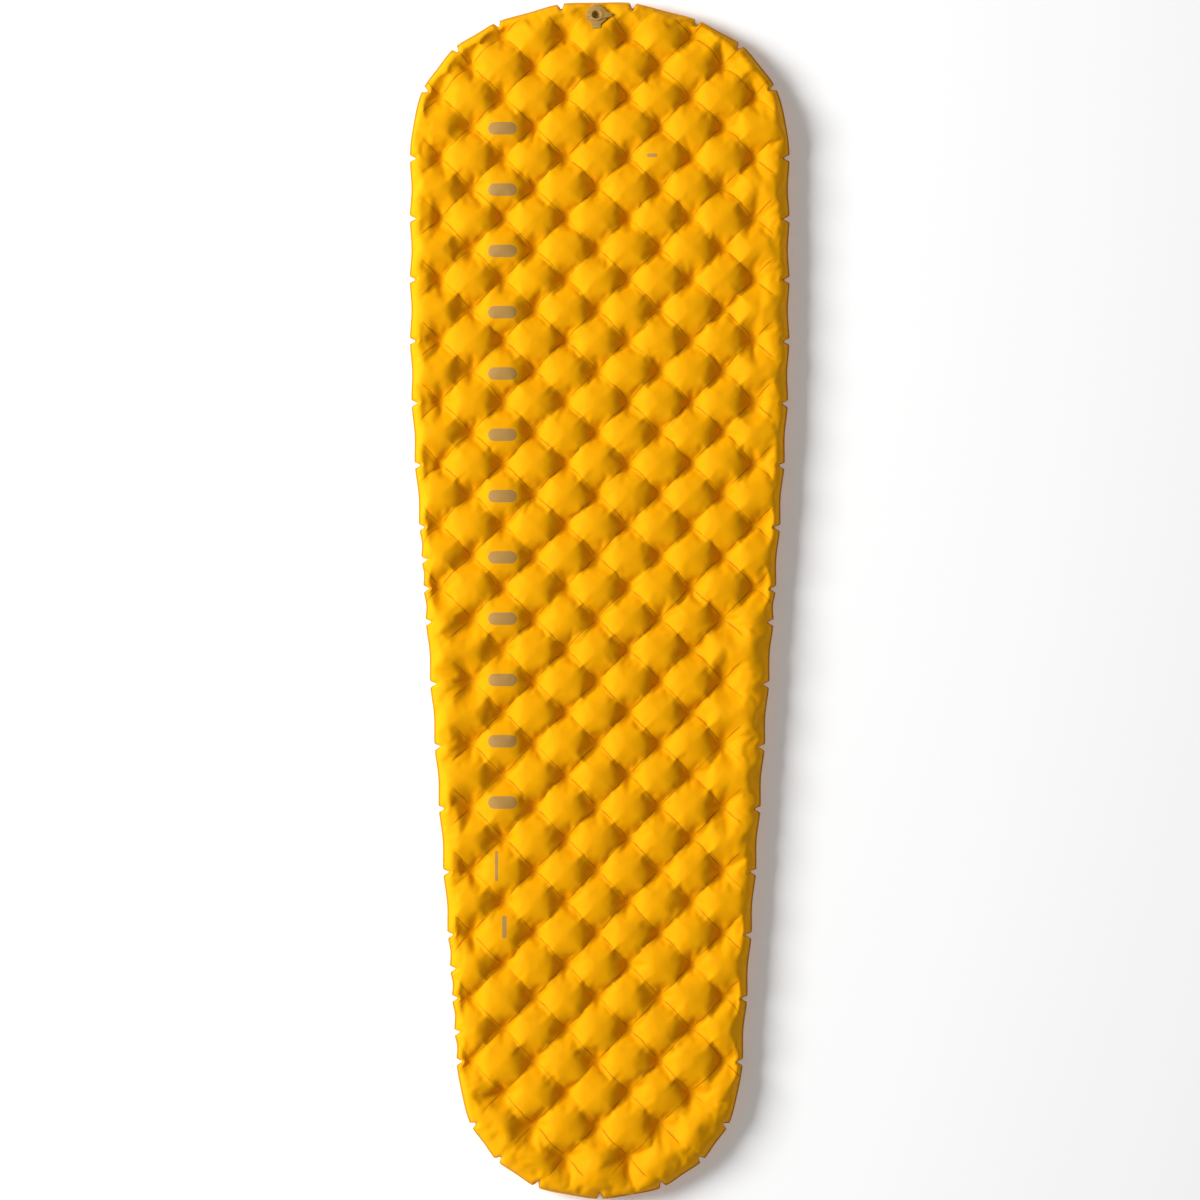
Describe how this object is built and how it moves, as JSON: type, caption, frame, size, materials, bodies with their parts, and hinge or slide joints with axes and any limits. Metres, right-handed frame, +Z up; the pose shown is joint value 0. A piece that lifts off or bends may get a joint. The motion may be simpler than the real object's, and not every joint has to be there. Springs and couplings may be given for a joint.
{
  "type": "inflatable sleeping pad",
  "caption": "Light air pad for camping: two dimpled fabric sheets welded at the edge and in a lattice of dots, tapered to the foot, with a flat two-cap valve at the head.",
  "frame": {"origin": "on the ground, under the middle of the pad's length and width", "axes": "+Z up out of the side that is slept on, +Y to the head end, +X to the right of someone who looks from the foot to the head"},
  "size_m": [0.58, 1.8298, 0.05],
  "materials": {
    "top_fabric": "matte",
    "bottom_fabric": "matte",
    "seam": "satin",
    "weld": "satin",
    "valve_plastic": "satin",
    "silicone": "satin"
  },
  "bodies": {
    "pad": {"top_sheet": "top_fabric", "bottom_sheet": "bottom_fabric", "edge_seam": "seam", "spot_welds": "weld", "valve_base": "valve_plastic", "deflate_strap": "valve_plastic"},
    "deflate_cap": {"deflate_cap": "valve_plastic", "inflate_strap": "valve_plastic"},
    "inflate_cap": {"inflate_cap": "valve_plastic"},
    "check_flap": {"check_flap": "silicone"}
  },
  "joints": [
    {"name": "deflate_cap_hinge", "type": "hinge", "parent": "pad", "child": "deflate_cap", "pos_m": [-0.005, 0.90662, 0.03624], "axis": [-1, 0, 0], "range_deg": [0, 140], "deforming": ["deflate_strap"]},
    {"name": "inflate_cap_hinge", "type": "hinge", "parent": "deflate_cap", "child": "inflate_cap", "pos_m": [-0.0172, 0.89105, 0.04335], "axis": [0, -0.9511, 0.309], "range_deg": [0, 135], "deforming": ["inflate_strap"]},
    {"name": "check_flap_press", "type": "slide", "parent": "deflate_cap", "child": "check_flap", "axis": [0, 0.309, 0.9511], "range_m": [-0.002, 0], "stiffness_N_per_m": 100}
  ]
}
